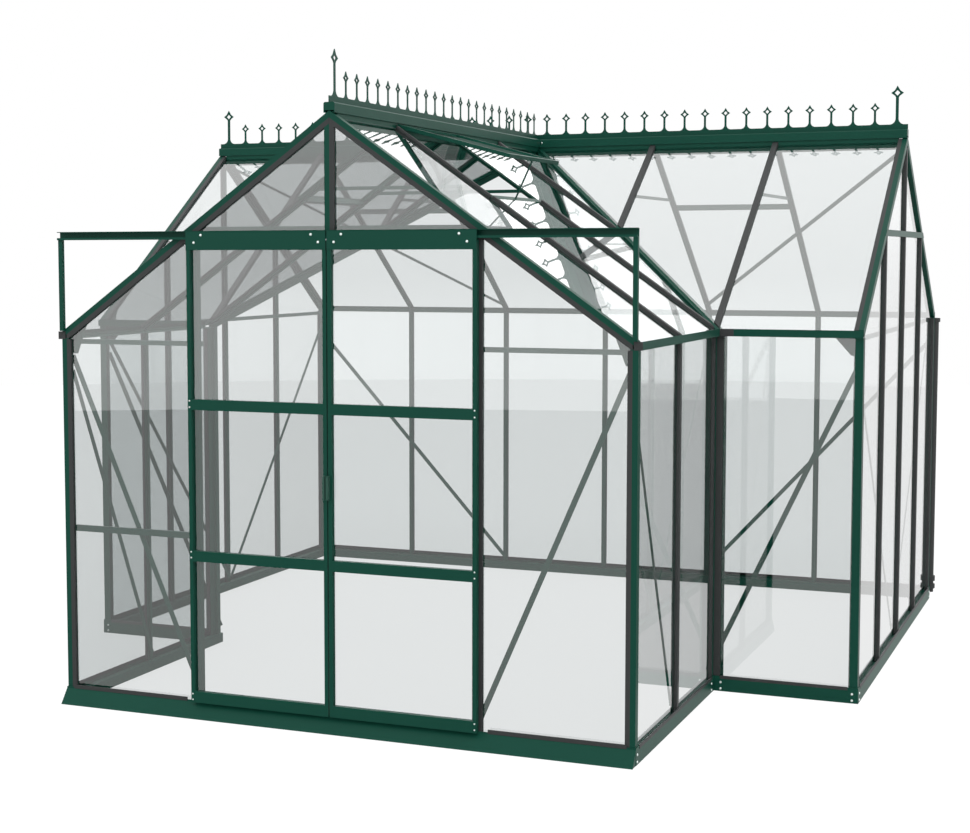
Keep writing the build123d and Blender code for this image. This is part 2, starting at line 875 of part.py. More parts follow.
def crest_plane(start, along):
    """Upright plane of a cresting: x along the ridge, y up from the top of its strip."""
    origin = Vector(*start) + Vector(0, 0, ridge_top + crest_strip)
    return Plane(origin=origin, x_dir=along, z_dir=along.cross(Vector(0, 0, 1)))


with BuildPart() as wing_cresting:
    with BuildSketch(crest_plane((0, front_y), NORTH)):
        crest_sketch(ridge_y - crest_thickness / 2 - front_y, 1)
    extrude(amount=crest_thickness / 2, both=True)
finish(wing_cresting, "wing_cresting")

with BuildPart() as main_cresting:
    with BuildSketch(crest_plane((-half_main, ridge_y), EAST)):
        crest_sketch(2 * half_main, 2)
    extrude(amount=crest_thickness / 2, both=True)
finish(main_cresting, "main_cresting")

# ---------------------------------------------------------------- ties and gable rails
def collar_tie(cut, place, normal_sign):
    """Flat tie between two facing roof bars, cut to their slopes."""
    reach_top = (ridge_height - (tie_level + tie_height) - bar_depth / cos(pitch)) / steepness
    reach_foot = (ridge_height - tie_level - bar_depth / cos(pitch)) / steepness
    with BuildPart() as tie:
        with BuildSketch(cut.offset(normal_sign * place)):
            Polygon(
                (-reach_foot, tie_level),
                (reach_foot, tie_level),
                (reach_top, tie_level + tie_height),
                (-reach_top, tie_level + tie_height),
                align=None,
            )
        extrude(amount=tie_thickness / 2, both=True)
    return tie.part


with BuildPart() as collar_ties:
    for place in wing_roof_places[:wing_depth_bays]:
        add(collar_tie(wing_cut, place, -1))
    for place in shoulder_places:
        for side in (-1, 1):
            add(collar_tie(shoulder_cut, place * side, 1))
finish(collar_ties, "collar_ties")


inner_trim = flange_back + flange_thickness


def gable_rail(wall, level, height, start, end, near, far):
    """Level bar inside or outside a gable, cut to the slopes at its ends."""
    zone = gable_zone(wall, inner_trim if near > 0 else 0, rail_shelf, ridge_stem_bottom)
    with BuildPart() as rail:
        with BuildSketch(face_plane(wall, near)):
            block(end - start, height, start, level)
        extrude(amount=near - far)
        add(zone, mode=Mode.INTERSECT)
    return rail.part


inside = bar_depth + transom_depth
with BuildPart() as gable_transoms:
    add(gable_rail(GABLE, strap_level, strap_height, 0, 2 * half_wing, -strap_thickness, 0))
    mirror(about=Plane.YZ)
    add(gable_rail(FRONT, transom_level, transom_height, 0, 2 * half_wing, bar_depth, inside))
finish(gable_transoms, "gable_transoms")

gusset_back = bar_depth + gusset_thickness
gable_bar_back = gusset_back + transom_depth
post_clear = flange_back + pane_play
gable_width = 2 * half_wing
with BuildPart() as gable_eave_bars:
    span = (post_clear, gable_width - post_clear)
    add(gable_rail(GABLE, gable_bar_level, gable_bar_height, *span, gusset_back, gable_bar_back))
    span = (gable_width - front_bars[0] - jamb_width, gable_width - post_clear)
    add(gable_rail(FRONT, gable_bar_level, gable_bar_height, *span, gusset_back, gable_bar_back))
    mirror(about=Plane.YZ)
finish(gable_eave_bars, "gable_eave_bars")

with BuildPart() as low_panel_bar:
    start = profile_reach
    end = front_bars[0] - (profile_reach - leg_width)
    with BuildSketch(face_plane(FRONT, pane_back)):
        block(end - start, low_bar_height, start, low_bar_level)
    extrude(amount=-low_bar_depth)
finish(low_panel_bar, "low_panel_bar")


def gusset(wall):
    """Plate that ties a corner post to the foot of its gable rafter."""
    inner = eave_flange + 1
    foot = wall_top - gusset_drop
    with BuildPart() as plate:
        with BuildSketch(face_plane(wall, bar_depth)):
            Polygon(
                (post_clear, foot),
                (gusset_toe, foot),
                (gusset_run, roof_z(half_wing - gusset_run, inner_trim)),
                (inner, roof_z(half_wing - inner, inner_trim)),
                (inner, wall_top - 1),
                (post_clear, wall_top - 1),
                align=None,
            )
        extrude(amount=-gusset_thickness)
    return plate.part


with BuildPart() as gusset_plates:
    gable_middle = Plane(origin=(0, ridge_y, 0), z_dir=(0, 1, 0))
    add(gusset(GABLE))
    mirror(about=gable_middle)
    add(gusset(FRONT))
    mirror(about=Plane.YZ)
finish(gusset_plates, "gusset_plates")


# ---------------------------------------------------------------- braces
def brace(plane, start, end):
    """Flat strip between two points of a plane, laid on the inside of the bars."""
    run = end[0] - start[0]
    climb = end[1] - start[1]
    with BuildPart() as strap:
        with BuildSketch(plane):
            with Locations(((start[0] + end[0]) / 2, (start[1] + end[1]) / 2)):
                Rectangle(hypot(run, climb), brace_width, rotation=degrees(atan2(climb, run)))
        extrude(amount=-brace_thickness)
    return strap.part


post_middle = post_clear + brace_width / 2
brace_top = wall_top - gusset_drop - brace_play
side_brace_top = brace_top - brace_step
shoulder_width = half_main - half_wing
jamb_middle = front_bars[0] + jamb_width / 2
wall_brace_ends = (
    (FRONT, post_middle, jamb_middle, brace_top),
    (WING_SIDE, post_middle, wing_side_bars[0], side_brace_top),
    (SHOULDER, shoulder_width - post_middle, -post_middle, side_brace_top),
    (REAR, post_middle, rear_bars[1], side_brace_top),
    (GABLE, post_middle, gable_bars[1] - brace_parting, brace_top),
)
with BuildPart() as wall_braces:
    for wall, top_place, foot_place, top_level in wall_brace_ends:
        plane = face_plane(wall, bar_depth)
        add(brace(plane, (top_place, top_level), (foot_place, brace_foot)))
    plane = face_plane(GABLE, bar_depth)
    far_foot = gable_bars[1] + brace_parting
    add(brace(plane, (gable_width - post_middle, brace_top), (far_foot, brace_foot)))
    mirror(about=Plane.YZ)
finish(wall_braces, "wall_braces")

with BuildPart() as roof_braces:
    lining = Plane(origin=rear_slope.origin, x_dir=rear_slope.x_dir, z_dir=rear_slope.y_dir)
    gable_end = (-half_main + profile_reach, -roof_brace_top)
    eave_end = (rear_places[1], roof_brace_foot - slope_length)
    add(brace(lining.offset(-bar_depth), gable_end, eave_end))
    mirror(about=Plane.YZ)
finish(roof_braces, "roof_braces")

# ---------------------------------------------------------------- roof vents
vent_sill_foot = vent_sill_top + vent_sill_width
vent_start = bay
vent_end = 2 * bay


def vent_sill(slope):
    """Cross bar between two roof bars, under the free edge of a vent."""
    width = vent_end - vent_start - 2 * pane_edge
    clear = bay - bar_width
    with BuildPart() as sill:
        with BuildSketch(slope.offset(vent_sill_top)):
            block(width, glass_thickness, vent_start + pane_edge, -pane_back)
        extrude(amount=vent_sill_width)
        with BuildSketch(slope.offset(vent_sill_top)):
            block(clear, bar_depth - pane_back, vent_start + bar_width / 2, -bar_depth)
        extrude(amount=flange_thickness)
    return sill.part


def sash_plane(slope, angle):
    """Underside of a vent sash: x along the ridge, y up the slope, from the hinge line."""
    place = slope.from_local_coords(Vector(0, -pane_front, sash_hinge / cos(pitch)))
    swing = radians(angle)
    normal = slope.y_dir * cos(swing) - slope.z_dir * sin(swing)
    return Plane(origin=place, x_dir=slope.x_dir, z_dir=normal)


sash_start = vent_start - sash_lap
sash_width = vent_end - vent_start + 2 * sash_lap
sash_clear_width = sash_width - 2 * sash_rail
sash_clear_length = sash_length - 2 * sash_rail


def sash_frame(plane):
    """Frame of a vent sash."""
    with BuildPart() as frame:
        with BuildSketch(plane):
            block(sash_width, sash_length, sash_start, -sash_length)
            left = sash_start + sash_rail
            with Locations((left + sash_clear_width / 2, -sash_length / 2)):
                Rectangle(sash_clear_width, sash_clear_length, mode=Mode.SUBTRACT)
        extrude(amount=sash_thickness)
    return frame.part


def sash_pane(plane):
    """Glass of a vent sash, let into its frame."""
    with BuildPart() as pane:
        with BuildSketch(plane.offset(sash_thickness / 2)):
            left = sash_start + sash_rail
            block(sash_clear_width, sash_clear_length, left, sash_rail - sash_length)
        extrude(amount=glass_thickness)
    return pane.part


open_sash = sash_plane(wing_slope, sash_open_angle)
shut_sash = sash_plane(wing_slope, 0)
rear_sash = sash_plane(rear_slope, 0)

with BuildPart() as vent_sills:
    add(vent_sill(wing_slope))
    add(vent_sill(rear_slope))
    mirror(about=Plane.YZ)
finish(vent_sills, "vent_sills")

with BuildPart() as vent_sashes:
    add(sash_frame(rear_sash))
    mirror(about=Plane.YZ)
    add(mirrored(sash_frame(shut_sash)))
    add(sash_frame(open_sash))
finish(vent_sashes, "vent_sashes")

with BuildPart() as vent_glass:
    add(sash_pane(rear_sash))
    mirror(about=Plane.YZ)
    add(mirrored(sash_pane(shut_sash)))
    add(sash_pane(open_sash))
finish(vent_glass, "vent_glass")

vent_middle = (vent_start + vent_end) / 2
stay_foot = wing_slope.from_local_coords(
    Vector(vent_middle, -pane_front, vent_sill_top + vent_sill_width / 2)
)
stay_head = open_sash.from_local_coords(Vector(vent_middle, sash_rail / 2 - sash_length, 0))
stay_line = stay_head - stay_foot
stay_plane = Plane(origin=stay_foot, x_dir=NORTH, z_dir=stay_line)
with BuildPart() as stay_strap:
    with BuildSketch(stay_plane.offset(-stay_thickness)):
        Rectangle(stay_width, stay_thickness)
    extrude(amount=stay_line.length + 2 * stay_thickness)
    add(sash_frame(open_sash), mode=Mode.SUBTRACT)
    add(vent_sill(wing_slope), mode=Mode.SUBTRACT)

with BuildPart() as vent_stay:
    add(stay_strap.part.solids().sort_by(SortBy.VOLUME)[-1])
finish(vent_stay, "vent_stay")

# ---------------------------------------------------------------- capping strips
strip_width = profile_reach - leg_width
wall_strip_height = wall_top - rail_shelf


def wall_cappings(wall, places):
    """Capping strips over the bars of a wall."""
    with BuildPart() as strips:
        with BuildSketch(plan_plane(wall, rail_shelf)):
            capping_section(places, 1)
        extrude(amount=wall_strip_height)
    return strips.part


def corner_cappings(wall):
    """Capping strips beside the two posts of a gable wall."""
    with BuildPart() as strips:
        with BuildSketch(plan_plane(wall, rail_shelf)):
            block(strip_width, capping_depth, leg_width, 0)
            block(strip_width, capping_depth, gable_width - profile_reach, 0)
        extrude(amount=wall_strip_height)
    return strips.part


with BuildPart() as gable_bar_cappings:
    with BuildSketch(plan_plane(GABLE, rail_shelf)):
        capping_section(gable_bars, 1)
    extrude(amount=ridge_height)
    add(gable_limit, mode=Mode.INTERSECT)

with BuildPart() as jamb_cappings:
    with BuildSketch(plan_plane(FRONT, rail_shelf)):
        block(strip_width, capping_depth, front_bars[2], 0)
    extrude(amount=ridge_height)
    mirror(about=Plane.YZ)
    with BuildSketch(plan_plane(FRONT, track_bottom)):
        block(strip_width, capping_depth, front_middle, 0)
    extrude(amount=ridge_height)
    add(front_limit, mode=Mode.INTERSECT)

with BuildPart() as inner_corner_cappings:
    with BuildSketch(plan_plane(SHOULDER, rail_shelf)):
        block(inner_strip, capping_depth, 0, 0)
    extrude(amount=wall_strip_height)
    with BuildSketch(plan_plane(WING_SIDE, rail_shelf)):
        block(strip_width, capping_depth, wall_length(WING_SIDE) - profile_reach, 0)
    extrude(amount=wall_strip_height)

with BuildPart() as wall_capping_strips:
    add(wall_cappings(WING_SIDE, wing_side_bars))
    add(inner_corner_cappings.part)
    add(corner_cappings(GABLE))
    add(gable_bar_cappings.part)
    mirror(about=Plane.YZ)
    add(corner_cappings(FRONT))
    add(jamb_cappings.part)
    add(wall_cappings(REAR, rear_bars))
finish(wall_capping_strips, "wall_capping_strips")


def slope_cappings(slope, places, start, zone):
    """Capping strips over roof bars, from this distance below the ridge line."""
    with BuildPart() as strips:
        with BuildSketch(slope.offset(start)):
            capping_section(places, -1)
        extrude(amount=slope_length)
        add(zone, mode=Mode.INTERSECT)
    return strips.part


def rafter_capping(slope, edge, side, zone, face_lap):
    """Capping strip beside a gable rafter's plain leg, on the roof or on the gable's face."""
    place = slope.from_local_coords(Vector(edge, 0, 0))
    with BuildPart() as strip_piece:
        with BuildSketch(Plane(origin=place, x_dir=-slope.y_dir, z_dir=slope.z_dir * side)):
            if face_lap:
                block(capping_depth, strip_width, 0, leg_width)
            else:
                block(strip_width, capping_depth, leg_width, 0)
        extrude(amount=side * slope_length)
        add(zone, mode=Mode.INTERSECT)
    return strip_piece.part


wing_cap_zone = wing_zone(ridge_stem_half, eave_wall, valley_core + pane_play)
shoulder_cap_zone = shoulder_zone(ridge_stem_half, eave_wall, valley_core + pane_play)
rear_plain = rear_places[2]
rear_vented = rear_places[:2] + rear_places[3:]
with BuildPart() as roof_capping_strips:
    add(slope_cappings(wing_slope, wing_roof_places[:2], vent_sill_foot, wing_cap_zone))
    add(slope_cappings(wing_slope, wing_roof_places[2:], 0, wing_cap_zone))
    add(slope_cappings(shoulder_slope, shoulder_places, 0, shoulder_cap_zone))
    add(rafter_capping(wing_slope, front_y, 1, wing_zone(rafter_gap, leg_width, 0), False))
    gable_strip_zone = shoulder_zone(ridge_stem_half, eave_wall, 0)
    add(rafter_capping(shoulder_slope, half_main, -1, gable_strip_zone, True))
    add(rafter_capping(rear_slope, -half_main, 1, rear_trim, True))
    mirror(about=Plane.YZ)
    add(slope_cappings(rear_slope, [rear_plain], 0, rear_trim))
    add(slope_cappings(rear_slope, rear_vented, vent_sill_foot, rear_trim))
finish(roof_capping_strips, "roof_capping_strips")

# ---------------------------------------------------------------- glass
post_edge = core_size + pane_play
pane_foot = rail_shelf + pane_play
pane_head = wall_top - pane_play
crown_top = roof_z(pane_play, post_edge)


def wall_panes(wall, spans, foot, head):
    """Upright panes between the bars of a wall."""
    with BuildPart() as panes:
        with BuildSketch(plan_plane(wall, foot)):
            for start, end in spans:
                block(end - start, glass_thickness, start, pane_front)
        extrude(amount=head - foot)
    return panes.part


def gable_panes(wall, spans, foot):
    """Panes of a gable wall, cut to its slopes."""
    with BuildPart() as panes:
        add(wall_panes(wall, spans, foot, ridge_height))
        add(gable_zone(wall, post_edge, pane_foot, crown_top), mode=Mode.INTERSECT)
    return panes.part


door_head_spans = (
    (front_bars[0] + jamb_width + pane_play, front_middle - jamb_width - pane_play),
    (front_middle + pane_play, front_bars[2] - jamb_width - pane_play),
)
front_side_span = (post_edge, front_bars[0] - pane_play)
with BuildPart() as wing_wall_glass:
    add(gable_panes(FRONT, [front_side_span], pane_foot))
    wing_spans = pane_spans(post_edge, wing_side_bars, wall_length(WING_SIDE) - pane_play)
    add(wall_panes(WING_SIDE, wing_spans, pane_foot, pane_head))
    mirror(about=Plane.YZ)
    add(gable_panes(FRONT, door_head_spans, transom_level - pane_play))
finish(wing_wall_glass, "wing_wall_glass")

shoulder_span = (pane_play, shoulder_width - post_edge)
with BuildPart() as main_wall_glass:
    add(wall_panes(SHOULDER, [shoulder_span], pane_foot, pane_head))
    add(gable_panes(GABLE, pane_spans(post_edge, gable_bars, gable_width - post_edge), pane_foot))
    mirror(about=Plane.YZ)
    rear_spans = pane_spans(post_edge, rear_bars, 2 * half_main - post_edge)
    add(wall_panes(REAR, rear_spans, pane_foot, pane_head))
finish(main_wall_glass, "main_wall_glass")


def slope_panes(slope, spans, start, zone):
    """Panes of one slope, from this distance below the ridge line."""
    with BuildPart() as panes:
        with BuildSketch(slope.offset(start)):
            for left, right in spans:
                block(right - left, glass_thickness, left, -pane_back)
        extrude(amount=slope_length)
        add(zone, mode=Mode.INTERSECT)
    return panes.part


valley_play = valley_core + pane_play
ridge_play = ridge_stem_half + pane_play
eave_play = eave_wall + pane_play
wing_pane_zone = wing_zone(ridge_play, eave_play, valley_play)
shoulder_pane_zone = shoulder_zone(ridge_play, eave_play, valley_play)
rear_pane_zone = rear_zone(ridge_play, eave_play)
vent_pane_start = vent_sill_foot + pane_play

wing_roof_spans = pane_spans(front_y + post_edge, wing_roof_places, ridge_y)
vent_bay = 1
with BuildPart() as wing_roof_glass:
    vented = wing_roof_spans[vent_bay]
    plain = wing_roof_spans[:vent_bay] + wing_roof_spans[vent_bay + 1:]
    add(slope_panes(wing_slope, plain, 0, wing_pane_zone))
    add(slope_panes(wing_slope, [vented], vent_pane_start, wing_pane_zone))
    mirror(about=Plane.YZ)
finish(wing_roof_glass, "wing_roof_glass")

gable_pane_end = half_main - post_edge
shoulder_roof_spans = pane_spans(0, shoulder_places, gable_pane_end)
rear_roof_spans = pane_spans(-gable_pane_end, rear_places, 0)[:main_length_bays // 2]
with BuildPart() as main_roof_glass:
    vented = rear_roof_spans[vent_bay]
    plain = rear_roof_spans[:vent_bay] + rear_roof_spans[vent_bay + 1:]
    add(slope_panes(shoulder_slope, shoulder_roof_spans, 0, shoulder_pane_zone))
    add(slope_panes(rear_slope, plain, 0, rear_pane_zone))
    add(slope_panes(rear_slope, [vented], vent_pane_start, rear_pane_zone))
    mirror(about=Plane.YZ)
finish(main_roof_glass, "main_roof_glass")

# ---------------------------------------------------------------- sliding doors
side_on = Plane(origin=(0, 0, 0), x_dir=(0, 1, 0), z_dir=(1, 0, 0))
track_top = track_bottom + track_height
track_back = front_y
track_front = track_back - track_depth
with BuildPart() as door_track:
    with BuildSketch(side_on.offset(-half_wing)):
        with Locations((track_back - track_wall / 2, track_bottom + track_height / 2)):
            Rectangle(track_wall, track_height)
        for level in (track_bottom, track_top - track_wall):
            with Locations(((track_front + track_back) / 2, level + track_wall / 2)):
                Rectangle(track_depth, track_wall)
        with Locations((track_front + track_wall / 2, track_bottom + track_lip / 2)):
            Rectangle(track_wall, track_lip)
    extrude(amount=2 * half_wing)
finish(door_track, "door_track")

with BuildPart() as track_end_posts:
    end_post_foot = eave_height + end_post_gap
    with BuildSketch(Plane.XY.offset(end_post_foot)):
        with Locations((half_wing - end_post_width / 2, track_back - end_post_depth / 2)):
            Rectangle(end_post_width, end_post_depth)
            inside = end_post_width - 2 * ridge_wall
            Rectangle(inside, end_post_depth - 2 * ridge_wall, mode=Mode.SUBTRACT)
    extrude(amount=track_bottom - end_post_foot)
    mirror(about=Plane.YZ)
finish(track_end_posts, "track_end_posts")

leaf_start = door_gap / 2
leaf_end = leaf_start + leaf_width
leaf_front = -leaf_back - leaf_thickness
leaf_top = track_bottom - running_gap
leaf_height = leaf_top - leaf_bottom
leaf_middle = (leaf_start + leaf_end) / 2
leaf_face = Plane(origin=(0, leaf_front, 0), x_dir=(1, 0, 0), z_dir=(0, -1, 0))
opening_width = leaf_width - 2 * stile_width
top_rail_bottom = board_bottom
opening_levels = [leaf_bottom + foot_rail_height]
for level in mid_rail_levels:
    opening_levels += [level, level + mid_rail_height]
opening_levels.append(top_rail_bottom)
openings = list(zip(opening_levels[::2], opening_levels[1::2]))

with BuildPart() as right_leaf_frame:
    with BuildSketch(leaf_face):
        block(leaf_width, leaf_height, leaf_start, leaf_bottom)
        for foot, head in openings:
            with Locations((leaf_middle, (foot + head) / 2)):
                Rectangle(opening_width, head - foot, mode=Mode.SUBTRACT)
    extrude(amount=-leaf_thickness)

with BuildPart() as right_leaf_glass:
    with BuildSketch(leaf_face.offset(-leaf_glass_depth)):
        for foot, head in openings:
            block(opening_width, head - foot, leaf_start + stile_width, foot)
    extrude(amount=-glass_thickness)

with BuildPart() as right_leaf_board:
    with BuildSketch(leaf_face):
        block(leaf_width, board_height, leaf_start, board_bottom)
    extrude(amount=board_thickness)

roller_level = track_bottom + track_wall + roller_radius + roller_rest
roller_middle = track_back - (track_depth - track_wall - track_wall) / 2 - track_wall
with BuildPart() as right_leaf_rollers:
    for place in (leaf_start + roller_inset, leaf_end - roller_inset):
        with BuildSketch(Plane.XZ.offset(-roller_middle - roller_width / 2)):
            with Locations((place, roller_level)):
                Circle(roller_radius)
        extrude(amount=roller_width)
        with BuildSketch(Plane.XZ.offset(-roller_middle)):
            with Locations((place, roller_level)):
                Circle(axle_radius)
        extrude(amount=roller_middle - leaf_front)

with BuildPart() as right_leaf_handle:
    with BuildSketch(leaf_face):
        block(handle_width, handle_height, leaf_start, handle_level)
    extrude(amount=handle_depth)

leaf_pieces = {
    "door_frame": right_leaf_frame,
    "door_glass": right_leaf_glass,
    "door_board": right_leaf_board,
    "door_rollers": right_leaf_rollers,
    "door_handle": right_leaf_handle,
}
for piece_name, builder in leaf_pieces.items():
    finish(builder, "right_" + piece_name)
    with BuildPart() as left_piece:
        add(mirrored(builder.part))
    finish(left_piece, "left_" + piece_name)
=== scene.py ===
# %% [markdown]
# # A glass greenhouse, dressed for its portrait
# The building is already made to size: aluminium bars, glass panes, a pair of sliding doors.
# This lesson loads that model as a fixed frame and gives every piece the finish of the real
# one. It adds the trim and fasteners that are too small for the model, and sets up a plain
# pale studio round it. All sizes are in metres.

# %% Load the frame
import json
import math

import bmesh
import bpy
from mathutils import Matrix, Vector


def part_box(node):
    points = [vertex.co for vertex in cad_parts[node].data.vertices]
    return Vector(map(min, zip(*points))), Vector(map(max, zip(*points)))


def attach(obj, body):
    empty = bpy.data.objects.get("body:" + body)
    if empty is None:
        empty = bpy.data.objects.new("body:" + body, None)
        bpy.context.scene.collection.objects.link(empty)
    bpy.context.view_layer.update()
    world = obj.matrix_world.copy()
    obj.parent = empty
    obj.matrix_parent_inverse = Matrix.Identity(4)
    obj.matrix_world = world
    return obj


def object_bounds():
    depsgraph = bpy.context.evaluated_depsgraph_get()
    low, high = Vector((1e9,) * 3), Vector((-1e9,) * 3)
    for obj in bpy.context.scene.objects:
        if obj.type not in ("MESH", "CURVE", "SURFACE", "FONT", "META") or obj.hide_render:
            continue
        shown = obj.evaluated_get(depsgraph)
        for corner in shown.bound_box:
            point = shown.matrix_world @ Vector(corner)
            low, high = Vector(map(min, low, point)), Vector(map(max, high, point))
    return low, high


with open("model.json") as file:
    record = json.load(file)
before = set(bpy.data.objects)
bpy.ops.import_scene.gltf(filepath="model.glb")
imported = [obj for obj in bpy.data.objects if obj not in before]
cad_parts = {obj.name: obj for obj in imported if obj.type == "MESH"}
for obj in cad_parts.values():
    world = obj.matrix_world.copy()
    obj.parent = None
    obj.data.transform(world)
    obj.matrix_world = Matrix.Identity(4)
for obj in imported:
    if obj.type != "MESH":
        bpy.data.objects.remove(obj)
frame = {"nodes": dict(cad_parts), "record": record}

nodes = frame["nodes"]
cad_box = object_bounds()
print("pieces:", len(nodes), "box:", [[round(v, 3) for v in corner] for corner in cad_box])


# %% [markdown]
# ## The camera
# A building is looked at from standing height, here a little to the right of the doors. The
# camera tips down a few degrees, enough to take in the ground in front of the threshold.
# Turning it would also slide the house across the frame, but a small lens shift does that
# and leaves the perspective as it is.

# %% Place the camera
LENS_MM = 65.25
LENS_SHIFT = (0.0668, -0.022)
CAMERA_PLACE = (3.0016, -6.244, 1.9015)
CAMERA_TURN = (85.438, 0.1005, 22.775)
FARTHEST_SEEN = 200


def turn_in_radians(turn):
    """Rotation angles for Blender from angles in degrees."""
    return [math.radians(angle) for angle in turn]


camera_data = bpy.data.cameras.new("camera")
camera_data.lens = LENS_MM
camera_data.shift_x, camera_data.shift_y = LENS_SHIFT
camera_data.clip_end = FARTHEST_SEEN
camera = bpy.data.objects.new("camera", camera_data)
camera.location = CAMERA_PLACE
camera.rotation_euler = turn_in_radians(CAMERA_TURN)
bpy.context.scene.collection.objects.link(camera)
bpy.context.scene.camera = camera
print("camera stands", round(camera.location.length, 2), "m from the doorway")


# %% [markdown]
# ## Small helpers for materials
# Paint charts give colours as sRGB hex values, while shaders count in linear light, so one
# function turns the first into the second. The curve is a plain power with an offset. Its
# straight start is left out, because that only matters for colours darker than any here.
# Another function adds a shader node: its settings are plain words, and its inputs are
# either values or the sockets that feed them.

# %% Colours
WHITE = "#ffffff"


def colour(code):
    """Linear colour of an sRGB hex value."""
    parts = [int(code[place:place + 2], 16) / 255 for place in (1, 3, 5)]
    linear = [(part + 0.055) / 1.055 for part in parts]
    return [part ** 2.4 for part in linear] + [1.0]


print("white is", colour(WHITE))


# %% Nodes and materials
def add_node(tree, kind, inputs=None, **settings):
    """A shader node with its settings, its values and its links."""
    node = tree.nodes.new(kind)
    for name, value in settings.items():
        setattr(node, name, value)
    for name, value in (inputs or {}).items():
        if isinstance(value, bpy.types.NodeSocket):
            tree.links.new(value, node.inputs[name])
        else:
            node.inputs[name].default_value = value
    return node


def new_material(name):
    """An empty material and its node tree."""
    material = bpy.data.materials.new(name)
    material.use_nodes = True
    material.node_tree.nodes.clear()
    return material, material.node_tree


# %% [markdown]
# ## Green powder coat
# The bars are extruded aluminium with a baked powder paint. Powder flows out with a faint
# orange peel about two millimetres across, and its gloss is satin. A flat green would make
# long bars look like one swatch, so the tone drifts a little over patches as wide as a pane,
# and the gloss drifts with it. The peel is drawn as bump, because it is far too fine to be
# cut into a mesh.

# %% Powder coat
MM = 0.001
TONE_PATCH_MM = 625
GLOSS_BELOW, GLOSS_ABOVE = 0.04, 0.05


def painted(name, code, dark_code, roughness, peel_mm, peel_height_mm, shine=0.2):
    """Satin surface with a fine peel and a slow drift between two tones."""
    material, tree = new_material(name)
    place = add_node(tree, "ShaderNodeTexCoord")
    drift = add_node(tree, "ShaderNodeTexNoise", {
        "Vector": place.outputs["Object"],
        "Scale": 1 / (TONE_PATCH_MM * MM),
        "Detail": 3.0,
    })
    tone = add_node(
        tree, "ShaderNodeMix",
        {0: drift.outputs["Fac"], 6: colour(code), 7: colour(dark_code)},
        data_type="RGBA",
    )
    peel = add_node(tree, "ShaderNodeTexNoise", {
        "Vector": place.outputs["Object"],
        "Scale": 1 / (peel_mm * MM),
        "Detail": 1.0,
    })
    bump = add_node(tree, "ShaderNodeBump", {
        "Height": peel.outputs["Fac"],
        "Strength": 0.25,
        "Distance": peel_height_mm * MM,
    })
    sheen = add_node(tree, "ShaderNodeMapRange", {
        "Value": drift.outputs["Fac"],
        "To Min": roughness - GLOSS_BELOW,
        "To Max": roughness + GLOSS_ABOVE,
    })
    surface = add_node(tree, "ShaderNodeBsdfPrincipled", {
        "Base Color": tone.outputs[2],
        "Roughness": sheen.outputs["Result"],
        "Specular IOR Level": shine,
        "Normal": bump.outputs["Normal"],
    })
    add_node(tree, "ShaderNodeOutputMaterial", {"Surface": surface.outputs["BSDF"]})
    return material


green_coat = painted(
    "green_powder_coat", "#12483b", "#0f4235",
    roughness=0.38, peel_mm=2.2, peel_height_mm=0.05, shine=0.1,
)
print("made", green_coat.name)


# %% [markdown]
# ## Plastics
# The panes are held by long clips of extruded PVC. Weather-proof PVC is a matte dark grey, and
# its gloss is broken up by a very fine grain. The rollers are moulded black nylon and the
# handles moulded green ABS, both a little smoother. All three have the same kind of surface
# as the paint, only with other tones, gloss and grain, so the same function makes them. The
# grain of real plastic is finer than a millimetre, and it is drawn coarser so that it shows.

# %% Plastics
capping_pvc = painted(
    "grey_pvc_capping", "#393b3b", "#343636", roughness=0.5, peel_mm=1.5, peel_height_mm=0.03
)
roller_nylon = painted(
    "black_nylon", "#1a1b1b", "#151616", roughness=0.45, peel_mm=1.0, peel_height_mm=0.02
)
handle_abs = painted(
    "green_abs_handle", "#2c5347", "#284d42", roughness=0.4, peel_mm=1.2, peel_height_mm=0.03
)
print("made", capping_pvc.name, roller_nylon.name, handle_abs.name)


# %% [markdown]
# ## Float glass
# Horticultural glass is 3 mm float glass, flat and clear. Seen square on it passes most of
# what is behind it, and seen at a slant it mirrors the sky. A refracting shader would bend
# each ray at both faces, only to bring it back to its own line, so here a pane passes light
# straight through and mirrors a share of it.
#
# One face mirrors the share R that Fresnel's law gives. Light goes to and fro between the two
# faces of a real pane, which makes the whole share 2R / (1 + R). The pane is a thin closed
# slab, so all of it is put on the face that a ray meets first, and the far face is clear.
# Float glass has an IOR of 1.52, and a pane of it seen square on mirrors a twelfth of the
# light. The 1.68 used here isn't physical: the pane mirrors an eighth.
#
# A ray that has passed one pane is taken to be indoors, and what it meets next mirrors in dark
# grey. That grey stands in for the dim inside of the house.

# %% The share of light that a pane mirrors
GLASS_IOR = 1.68

glass, tree = new_material("float_glass")
one_face = add_node(tree, "ShaderNodeFresnel", {"IOR": GLASS_IOR})
reflected = one_face.outputs["Fac"]
twice = add_node(tree, "ShaderNodeMath", {0: reflected, 1: 2.0}, operation="MULTIPLY")
one_more = add_node(tree, "ShaderNodeMath", {0: reflected, 1: 1.0}, operation="ADD")
mirror_share = add_node(
    tree, "ShaderNodeMath",
    {0: twice.outputs["Value"], 1: one_more.outputs["Value"]},
    operation="DIVIDE",
)
print("made the mirror of", glass.name)

# %% Body and mirror of a pane
PAST_ONE_PANE = 0.5

